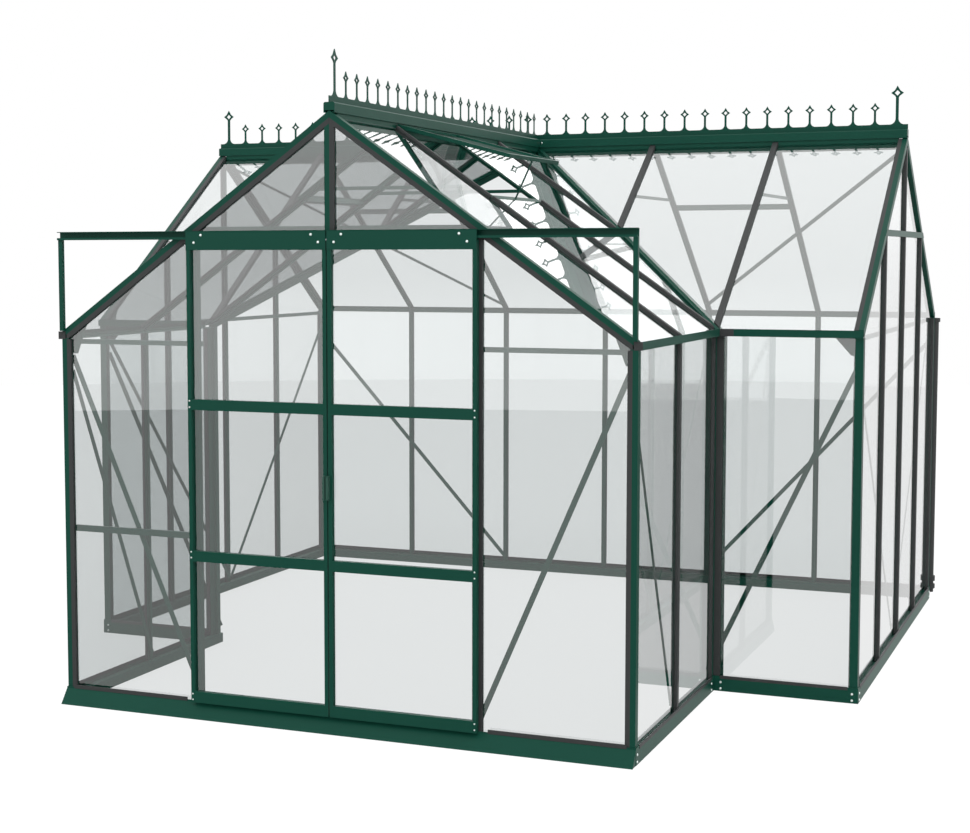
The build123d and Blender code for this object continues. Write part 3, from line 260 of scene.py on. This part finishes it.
path = add_node(tree, "ShaderNodeLightPath")
indoors = add_node(
    tree, "ShaderNodeMath",
    {0: path.outputs["Transparent Depth"], 1: PAST_ONE_PANE},
    operation="GREATER_THAN",
)
body = add_node(tree, "ShaderNodeBsdfTransparent", {"Color": colour("#f1f4f4")})
sky_mirror = add_node(tree, "ShaderNodeBsdfGlossy", {"Color": colour(WHITE), "Roughness": 0.0})
room_mirror = add_node(tree, "ShaderNodeBsdfGlossy", {"Color": colour("#595959"), "Roughness": 0.0})
mirror = add_node(tree, "ShaderNodeMixShader", {
    0: indoors.outputs["Value"],
    1: sky_mirror.outputs["BSDF"],
    2: room_mirror.outputs["BSDF"],
})
first_face = add_node(tree, "ShaderNodeMixShader", {
    0: mirror_share.outputs["Value"],
    1: body.outputs["BSDF"],
    2: mirror.outputs["Shader"],
})
far_face = add_node(tree, "ShaderNodeBsdfTransparent", {"Color": colour(WHITE)})
geometry = add_node(tree, "ShaderNodeNewGeometry")
pane = add_node(tree, "ShaderNodeMixShader", {
    0: geometry.outputs["Backfacing"],
    1: first_face.outputs["Shader"],
    2: far_face.outputs["BSDF"],
})
add_node(tree, "ShaderNodeOutputMaterial", {"Surface": pane.outputs["Shader"]})
print("made", glass.name)


# %% [markdown]
# ## Dress the frame
# The record names a material slot for every node. Each node gets the finish of its slot, so
# no node has to be named here.

# %% Assign materials
finishes = {
    "frame_green": green_coat,
    "capping_dark": capping_pvc,
    "clear_glass": glass,
    "roller_nylon": roller_nylon,
    "handle_plastic": handle_abs,
}
slot_of = {entry["node"]: entry["material_slot"] for entry in frame["record"]["subparts"]}
for name, piece in nodes.items():
    for slot in piece.material_slots:
        slot.material = finishes[slot_of[name]]
print("dressed", len(nodes), "nodes")


# %% [markdown]
# ## Where the walls stand
# Small pieces are placed from the outer faces of the walls. The base rails have a lip that
# stands 4 mm outside those faces, so the boxes of the rails give them.

# %% Faces of the walls
RAIL_LIP = 0.004

wing_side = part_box("wing_side_rails")[1][0] - RAIL_LIP
main_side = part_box("main_gable_rails")[1][0] - RAIL_LIP
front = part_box("front_base_rail")[0][1] + RAIL_LIP
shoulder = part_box("main_long_rails")[0][1] + RAIL_LIP
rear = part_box("main_long_rails")[1][1] - RAIL_LIP
print("wing side", round(wing_side, 3), "main side", round(main_side, 3))
print("front", round(front, 3), "shoulder", round(shoulder, 3), "rear", round(rear, 3))


# %% [markdown]
# ## Helpers for the small pieces
# Trim and fasteners are too fine for the model of the building, so they are made here. A
# piece is a bmesh that becomes one object. It sits at the origin with its place in its mesh,
# rides on one moving body, and names the finish that it takes.

# %% Piece helper
def finished_piece(name, shape, body, material):
    """One object from a bmesh, riding on a body."""
    mesh = bpy.data.meshes.new(name)
    shape.to_mesh(mesh)
    shape.free()
    mesh.materials.append(material)
    piece = bpy.data.objects.new(name, mesh)
    bpy.context.scene.collection.objects.link(piece)
    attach(piece, body)
    print("made", name, "with", len(mesh.polygons), "faces")
    return piece


# %% Shape helpers
def add_bar(shape, low, high, edge, turn=Matrix()):
    """A bar between two corners with its edges rounded, then turned into place."""
    low, high = Vector(low), Vector(high)
    place = Matrix.Translation((low + high) / 2) @ Matrix.Diagonal((*(high - low), 1))
    verts = bmesh.ops.create_cube(shape, size=1.0, matrix=turn @ place)["verts"]
    edges = list({line for vert in verts for line in vert.link_edges})
    bmesh.ops.bevel(
        shape, geom=edges, offset=edge, affect="EDGES", segments=2, profile=0.5, material=-1
    )


def add_plate(shape, corners, thickness):
    """A flat sheet with this outline, made thick along a vector."""
    outline = [shape.verts.new(corner) for corner in corners]
    grown = bmesh.ops.extrude_face_region(shape, geom=[shape.faces.new(outline)])
    moved = [item for item in grown["geom"] if isinstance(item, bmesh.types.BMVert)]
    bmesh.ops.translate(shape, verts=moved, vec=thickness)


# %% [markdown]
# ## Glazing bead
# A dark bead of the same PVC closes the gap between the base rail and the foot of each pane.
# It is an open strip, so a bar with rounded edges has all of its shape that shows. One runs
# along every wall and stops short of the posts. At the doors there is none. The bead of the
# front is flatter and taller, and it starts just above the ramp.

# %% Runs of the bead
BEAD_PROUD = 0.0055             # out from the face of the wall
BEAD_BELOW, BEAD_ABOVE = 0.012, 0.002
BEAD_EDGE = 0.0012
FRONT_BEAD_PROUD = 0.0048
FRONT_BEAD_ABOVE = 0.0105
RAMP_GAP = 0.0005
POST_STRIP = 0.041              # from the corner of two walls to the far edge of its strip
FRONT_POST_FACE = 0.032
JAMB_STRIP = 0.025              # strip beside a door jamb
INNER_STRIP = 0.030             # strip of the corner where wing and house meet
MIDDLE_BAR = 0.016              # from the middle of the rear wall to the edge of its bar

rail_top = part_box("wing_side_rails")[1][2]
bead_foot, bead_top = rail_top - BEAD_BELOW, rail_top + BEAD_ABOVE
front_bead_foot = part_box("threshold_ramp")[1][2] + RAMP_GAP
front_bead_top = rail_top + FRONT_BEAD_ABOVE
jamb_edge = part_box("door_jambs")[1][0] + JAMB_STRIP
bead_runs = [
    (
        (jamb_edge, front - FRONT_BEAD_PROUD, front_bead_foot),
        (wing_side - FRONT_POST_FACE, front, front_bead_top),
    ),
    (
        (wing_side, front + POST_STRIP, bead_foot),
        (wing_side + BEAD_PROUD, shoulder - POST_STRIP, bead_top),
    ),
    (
        (wing_side + INNER_STRIP, shoulder - BEAD_PROUD, bead_foot),
        (main_side - POST_STRIP, shoulder, bead_top),
    ),
    (
        (main_side, shoulder + POST_STRIP, bead_foot),
        (main_side + BEAD_PROUD, rear - POST_STRIP, bead_top),
    ),
    (
        (MIDDLE_BAR, rear, bead_foot),
        (main_side - POST_STRIP, rear + BEAD_PROUD, bead_top),
    ),
]
print("bead stands", round(bead_top - rail_top, 4), "m above the rail")

# %% Beads along the base
beads = bmesh.new()
for side in (-1, 1):
    for start, end in bead_runs:
        left, right = sorted((side * start[0], side * end[0]))
        add_bar(beads, (left, start[1], start[2]), (right, end[1], end[2]), BEAD_EDGE)
finished_piece("glazing_beads", beads, "house", capping_pvc)


# %% [markdown]
# ## Side strip of the open roof vent
# Beside the vent the pane of the first bay is held by a narrower strip, which leaves room for
# the sash to close. It lies in the slope of the roof, so it is made level and then turned.

# %% Vent side strip
RIDGE_LINE = 2.463
STRIP_HEAD, STRIP_FOOT = 0.036, 0.551           # down the slope from the ridge line
STRIP_FRONT, STRIP_REAR = 0.588, 0.6065         # along the ridge from the doorway
STRIP_DEPTH = 0.012
STRIP_EDGE = 0.002

roof_pitch = math.atan2(RIDGE_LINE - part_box("wing_eaves")[1][2], wing_side)
slope = Matrix.Translation((0, 0, RIDGE_LINE)) @ Matrix.Rotation(roof_pitch, 4, "Y")
strip = bmesh.new()
add_bar(strip, (STRIP_HEAD, STRIP_FRONT, -STRIP_DEPTH), (STRIP_FOOT, STRIP_REAR, 0), STRIP_EDGE, slope)
finished_piece("vent_side_strip", strip, "house", capping_pvc)


# %% [markdown]
# ## Gusset plates at the shoulders
# A flat plate with one corner cut off stiffens the top of each outer corner. It is cut from
# 3 mm sheet and painted with the bars, so a four-sided face is drawn and given a thickness.

# %% Shoulder gussets
GUSSET_SHEET = 0.003
GUSSET_DEPTH = 0.034            # behind the face of the wall
GUSSET_GAP = 0.001              # below the eave
GUSSET_SIDE, GUSSET_TOE, GUSSET_TIP = 0.034, 0.058, 0.122
GUSSET_TOE_DROP, GUSSET_DROP = 0.072, 0.080

gusset_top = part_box("shoulder_eaves")[0][2] - GUSSET_GAP
gusset_outline = [
    (main_side - GUSSET_SIDE, gusset_top),
    (main_side - GUSSET_TIP, gusset_top),
    (main_side - GUSSET_TOE, gusset_top - GUSSET_TOE_DROP),
    (main_side - GUSSET_SIDE, gusset_top - GUSSET_DROP),
]
plates = bmesh.new()
for side in (-1, 1):
    corners = [(side * x, shoulder + GUSSET_DEPTH, z) for x, z in gusset_outline]
    add_plate(plates, corners, (0, GUSSET_SHEET, 0))
bmesh.ops.recalc_face_normals(plates, faces=plates.faces)
finished_piece("shoulder_gussets", plates, "house", green_coat)


# %% [markdown]
# ## Ends of the threshold ramp
# The ramp is a bent sheet, and a small three-sided cheek closes each end. A cheek is flat, so
# it is one face that gets a thickness. It sits inside the sheet and a hair above the ground.

# %% Ramp cheeks
RAMP_SHEET = 0.003
CHEEK_SHEET = 0.002
CHEEK_LIFT = 0.0005

ramp_low, ramp_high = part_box("threshold_ramp")
cheek_outline = [
    (ramp_low[1] + RAMP_SHEET, CHEEK_LIFT),
    (ramp_high[1], CHEEK_LIFT),
    (ramp_high[1], ramp_high[2] - RAMP_SHEET),
]
cheeks = bmesh.new()
for side in (-1, 1):
    corners = [(side * (ramp_high[0] - RAMP_SHEET), y, z) for y, z in cheek_outline]
    add_plate(cheeks, corners, (side * CHEEK_SHEET, 0, 0))
bmesh.ops.recalc_face_normals(cheeks, faces=cheeks.faces)
finished_piece("ramp_cheeks", cheeks, "house", green_coat)


# %% [markdown]
# ## Zinc plating
# The bars are joined with zinc-plated M6 bolts whose rounded heads are 11 mm across, and the
# leaves with smaller screws. Zinc plating is a bright metal with a faint blue-white haze, and
# its gloss is broken by fine grain. A plain metal shader would look polished, so the grain
# steers both the roughness and a very shallow bump. It is drawn coarser than the real one,
# which would be lost on a head this small.

# %% Zinc plating
ZINC_GRAIN_MM = 0.8
ZINC_RELIEF_MM = 0.02
ZINC_SMOOTH, ZINC_ROUGH = 0.28, 0.42

zinc, tree = new_material("zinc_plated_steel")
place = add_node(tree, "ShaderNodeTexCoord")
grain = add_node(tree, "ShaderNodeTexNoise", {
    "Vector": place.outputs["Object"],
    "Scale": 1 / (ZINC_GRAIN_MM * MM),
    "Detail": 1.0,
})
haze = add_node(tree, "ShaderNodeMapRange", {
    "Value": grain.outputs["Fac"],
    "To Min": ZINC_SMOOTH,
    "To Max": ZINC_ROUGH,
})
relief = add_node(tree, "ShaderNodeBump", {
    "Height": grain.outputs["Fac"],
    "Strength": 0.2,
    "Distance": ZINC_RELIEF_MM * MM,
})
plating = add_node(tree, "ShaderNodeBsdfPrincipled", {
    "Base Color": colour("#d3dcd9"),
    "Metallic": 1.0,
    "Roughness": haze.outputs["Result"],
    "Normal": relief.outputs["Normal"],
})
add_node(tree, "ShaderNodeOutputMaterial", {"Surface": plating.outputs["BSDF"]})
print("made", zinc.name)


# %% [markdown]
# ## Bolts and screws
# A head is a short cylinder, and a wide bevel round its outer rim makes the dome. Its foot is
# sunk a millimetre into what it holds, so that no light passes under it. Heads are made
# pointing up and then turned to the side that they face.

# %% Bolt helper
FACING = {
    "front": Matrix.Rotation(math.radians(90), 4, "X"),
    "rear": Matrix.Rotation(math.radians(-90), 4, "X"),
    "right": Matrix.Rotation(math.radians(90), 4, "Y"),
    "left": Matrix.Rotation(math.radians(-90), 4, "Y"),
}
BOLT_RADIUS, BOLT_HEIGHT = 0.0055, 0.0035
SUNK = 0.001
DOME_SHARE = 0.75               # of the head's height


def add_head(shape, at, facing, radius=BOLT_RADIUS, height=BOLT_HEIGHT):
    """A domed bolt head whose foot is at this point."""
    turn = FACING[facing]
    verts = bmesh.ops.create_cone(
        shape, cap_ends=True, segments=12, radius1=radius, radius2=radius,
        depth=height + SUNK,
        matrix=Matrix.Translation(at) @ turn @ Matrix.Translation((0, 0, (height - SUNK) / 2)),
    )["verts"]
    out = turn.to_3x3() @ Vector((0, 0, 1))
    rim = {vert for vert in verts if (vert.co - Vector(at)).dot(out) > height / 2}
    around = {line for vert in rim for line in vert.link_edges}
    edges = [line for line in around if rim.issuperset(line.verts)]
    bmesh.ops.bevel(
        shape, geom=edges, offset=height * DOME_SHARE,
        affect="EDGES", segments=3, profile=0.5, material=-1,
    )


# %% [markdown]
# ## Bolts of the house
# Two bolts, one above the other, hold each end of the base rails to the corner posts, all but
# the front rail's. One sits each side of the place where the two ridges meet. One more belongs
# at the foot of each end post of the door track, but it lies inside the hollow post, touches
# nothing and can't be seen. They are placed from the faces of the walls, as the beads are.

# %% Bolts of the house
RAIL_BOLT_LEVELS = (0.0125, 0.040)
INNER_POST_BOLT = 0.0335        # out from the side of the wing
CORNER_BOLT = 0.022             # in from the side of the main house
FRONT_BOLT = 0.012              # back from the front
INNER_SIDE_BOLT = 0.046
OUTER_SIDE_BOLT = 0.026
END_POST_BOLT = (0.008, 0.009, 1.593)       # in from the side, out from the front, level
RIDGE_BOLT = (0.032, 2.478)                 # out from the ridge line, level
NARROW_RADIUS, TALL_HEAD = 0.005, 0.005

rail_wing_side, rail_main_side = wing_side + RAIL_LIP, main_side + RAIL_LIP
rail_shoulder, rail_rear = shoulder - RAIL_LIP, rear + RAIL_LIP
heads = bmesh.new()
for side, outwards, inwards in ((1, "right", "left"), (-1, "left", "right")):
    for level in RAIL_BOLT_LEVELS:
        add_head(heads, (side * (wing_side + INNER_POST_BOLT), rail_shoulder, level), "front")
        add_head(heads, (side * (main_side - CORNER_BOLT), rail_shoulder, level), "front")
        add_head(heads, (side * (main_side - CORNER_BOLT), rail_rear, level), "rear")
        add_head(heads, (side * rail_wing_side, front + FRONT_BOLT, level), outwards)
        add_head(heads, (side * rail_wing_side, shoulder - INNER_SIDE_BOLT, level), outwards)
        add_head(heads, (side * rail_main_side, shoulder + OUTER_SIDE_BOLT, level), outwards)
        add_head(heads, (side * rail_main_side, rear - OUTER_SIDE_BOLT, level), outwards)
    across, before, level = END_POST_BOLT
    end_post = (side * (wing_side - across), front - before, level)
    add_head(heads, end_post, inwards, NARROW_RADIUS, TALL_HEAD)
    across, level = RIDGE_BOLT
    add_head(heads, (side * across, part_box("main_ridge")[0][1], level), "front", NARROW_RADIUS)
finished_piece("house_bolts", heads, "house", zinc)


# %% [markdown]
# ## Bolts and screws of the leaves
# Four bolts hold the board of each leaf, two near each end, and a pair of small screws holds
# each end of a cross rail to the outer stile. They ride on their own leaf.

# %% Bolts and screws of the leaves
BOARD_BOLTS = ((0.034, 1.952), (0.0655, 1.982), (0.558, 1.982), (0.5905, 1.952))
STILE_SCREWS = 0.6205           # out from the middle of the doorway
SCREW_LEVELS = (0.078, 0.102, 0.668, 0.692, 1.286, 1.312)
SCREW_RADIUS, SCREW_HEIGHT = 0.0035, 0.0025

for leaf, side in (("left", -1), ("right", 1)):
    heads = bmesh.new()
    board_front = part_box(leaf + "_door_board")[0][1]
    leaf_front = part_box(leaf + "_door_frame")[0][1]
    for across, level in BOARD_BOLTS:
        add_head(heads, (side * across, board_front, level), "front")
    for level in SCREW_LEVELS:
        add_head(heads, (side * STILE_SCREWS, leaf_front, level), "front", SCREW_RADIUS, SCREW_HEIGHT)
    finished_piece(leaf + "_leaf_bolts", heads, leaf + "_leaf", zinc)


# %% [markdown]
# ## Floor
# The house stands on a wide round sheet of white paper. Lighting real paper to white would
# wash out the green bars, so the paper is lit no more than the house, and rays from the
# camera see a glow added to it. They still see the house's own soft shadow.
#
# Behind a pane the glow is dimmer. Mirrors see a bright floor from outdoors and a dark one
# from indoors, and everything else sees plain paper. These strengths are given, and
# aren't worked out from the light.

# %% Floor sheet
FLOOR_REACH = 17.4
FLOOR_MIDDLE = 2.8
FLOOR_GAP = 0.0005

floor_mesh = bpy.data.meshes.new("floor")
floor_shape = bmesh.new()
bmesh.ops.create_circle(floor_shape, cap_ends=True, segments=64, radius=FLOOR_REACH)
floor_level = cad_box[0][2] - FLOOR_GAP
bmesh.ops.translate(floor_shape, verts=floor_shape.verts, vec=(0, FLOOR_MIDDLE, floor_level))
floor_shape.to_mesh(floor_mesh)
floor_shape.free()
floor = bpy.data.objects.new("floor", floor_mesh)
bpy.context.scene.collection.objects.link(floor)
print("floor reaches", FLOOR_REACH, "m")

# %% Floor paper
SEEN_OUTDOORS, SEEN_INDOORS = 0.92, 0.745
MIRRORED_OUTDOORS, MIRRORED_INDOORS = 0.88, 0.15

floor_paper, tree = new_material("floor_paper")
path = add_node(tree, "ShaderNodeLightPath")
paper = add_node(tree, "ShaderNodeBsdfDiffuse", {"Color": colour("#d8d8d8")})
shadow = add_node(tree, "ShaderNodeBsdfDiffuse", {"Color": colour("#6c6c6c")})
seen_strength = add_node(tree, "ShaderNodeMapRange", {
    "Value": path.outputs["Transparent Depth"],
    "To Min": SEEN_OUTDOORS,
    "To Max": SEEN_INDOORS,
})
seen_glow = add_node(tree, "ShaderNodeEmission", {
    "Color": colour(WHITE),
    "Strength": seen_strength.outputs["Result"],
})
seen = add_node(tree, "ShaderNodeAddShader", {0: shadow.outputs["BSDF"], 1: seen_glow.outputs["Emission"]})
mirrored_strength = add_node(tree, "ShaderNodeMapRange", {
    "Value": path.outputs["Transparent Depth"],
    "To Min": MIRRORED_OUTDOORS,
    "To Max": MIRRORED_INDOORS,
})
mirrored = add_node(tree, "ShaderNodeEmission", {
    "Color": colour(WHITE),
    "Strength": mirrored_strength.outputs["Result"],
})
for_light = add_node(tree, "ShaderNodeMixShader", {
    0: path.outputs["Is Glossy Ray"],
    1: paper.outputs["BSDF"],
    2: mirrored.outputs["Emission"],
})
shown = add_node(tree, "ShaderNodeMixShader", {
    0: path.outputs["Is Camera Ray"],
    1: for_light.outputs["Shader"],
    2: seen.outputs["Shader"],
})
add_node(tree, "ShaderNodeOutputMaterial", {"Surface": shown.outputs["Shader"]})
floor_mesh.materials.append(floor_paper)
print("made", floor_paper.name)


# %% [markdown]
# ## Light tent
# A greenhouse is best shown in a tent of white cloth, because panes mirror whatever stands
# round them. The world is that tent, and it is three things at once. It lights the house
# evenly from all sides. Mirrors see it bright above and in front, and darker low at the rear.
# The camera sees it as a white page, and through glass as a page that is a shade darker
# above the horizon. These strengths are given, and the brightest that mirrors see is
# well over white.

# %% Tent as mirrors see it
BRIGHT_SIDE = (0, -0.35, 1)
DARK_BELOW, BRIGHT_ABOVE = -0.38, -0.08
DARK_STRENGTH, BRIGHT_STRENGTH = 0.95, 1.8

world = bpy.data.worlds.new("light_tent")
bpy.context.scene.world = world
world.use_nodes = True
tree = world.node_tree
tree.nodes.clear()
path = add_node(tree, "ShaderNodeLightPath")
direction = add_node(tree, "ShaderNodeTexCoord")
towards_bright = add_node(
    tree, "ShaderNodeVectorMath",
    {0: direction.outputs["Generated"], 1: BRIGHT_SIDE},
    operation="DOT_PRODUCT",
)
mirrored_tent = add_node(tree, "ShaderNodeMapRange", {
    "Value": towards_bright.outputs["Value"],
    "From Min": DARK_BELOW,
    "From Max": BRIGHT_ABOVE,
    "To Min": DARK_STRENGTH,
    "To Max": BRIGHT_STRENGTH,
})
tent_mirrored = add_node(tree, "ShaderNodeBackground", {
    "Color": colour(WHITE),
    "Strength": mirrored_tent.outputs["Result"],
})
print("bright side of the tent:", BRIGHT_SIDE)

# %% Tent as the camera sees it
HORIZON_FOOT, HORIZON_TOP = -0.035, -0.012
FULL_PAGE, SHADED_PAGE = 1.0, 0.91

height = add_node(tree, "ShaderNodeSeparateXYZ", {"Vector": direction.outputs["Generated"]})
above_horizon = add_node(tree, "ShaderNodeMapRange", {
    "Value": height.outputs["Z"],
    "From Min": HORIZON_FOOT,
    "From Max": HORIZON_TOP,
    "To Min": FULL_PAGE,
    "To Max": SHADED_PAGE,
})
behind_glass = add_node(
    tree, "ShaderNodeMath",
    {0: path.outputs["Transparent Depth"], 1: PAST_ONE_PANE},
    operation="GREATER_THAN",
)
page_strength = add_node(
    tree, "ShaderNodeMix",
    {0: behind_glass.outputs["Value"], 2: FULL_PAGE, 3: above_horizon.outputs["Result"]},
    data_type="FLOAT",
)
page = add_node(tree, "ShaderNodeBackground", {
    "Color": colour(WHITE),
    "Strength": page_strength.outputs["Result"],
})
print("made the page behind the house")

# %% Tent as a light
SOFT_LIGHT = 0.8

soft_light = add_node(tree, "ShaderNodeBackground", {"Color": colour(WHITE), "Strength": SOFT_LIGHT})
unseen = add_node(tree, "ShaderNodeMixShader", {
    0: path.outputs["Is Glossy Ray"],
    1: soft_light.outputs["Background"],
    2: tent_mirrored.outputs["Background"],
})
tent = add_node(tree, "ShaderNodeMixShader", {
    0: path.outputs["Is Camera Ray"],
    1: unseen.outputs["Shader"],
    2: page.outputs["Background"],
})
add_node(tree, "ShaderNodeOutputWorld", {"Surface": tent.outputs["Shader"]})
print("lit by", world.name)


# %% [markdown]
# ## Lamp
# One large soft lamp stands high in front of the house and a little to its right. It makes
# the front of each bar brighter than its side, so the bars look square and not flat.

# %% Lamp
LAMP_STRENGTH = 0.8
LAMP_SPREAD = 30
LAMP_TURN = (48, 0, 20)

lamp_data = bpy.data.lights.new("key_lamp", "SUN")
lamp_data.energy = LAMP_STRENGTH
lamp_data.angle = math.radians(LAMP_SPREAD)
lamp = bpy.data.objects.new("key_lamp", lamp_data)
lamp.rotation_euler = turn_in_radians(LAMP_TURN)
bpy.context.scene.collection.objects.link(lamp)
print("lit by", lamp.name)


# %% [markdown]
# ## View and depth of rays
# The plain view transform shows a colour about as it is written. A ray may cross many panes
# on its way through the house, two faces each, so it is allowed more of them than usual.

# %% View
scene = bpy.context.scene
scene.view_settings.view_transform = "Standard"
scene.cycles.transparent_max_bounces = 64
scene.cycles.max_bounces = 10
print("rays may cross", scene.cycles.transparent_max_bounces, "faces of glass")
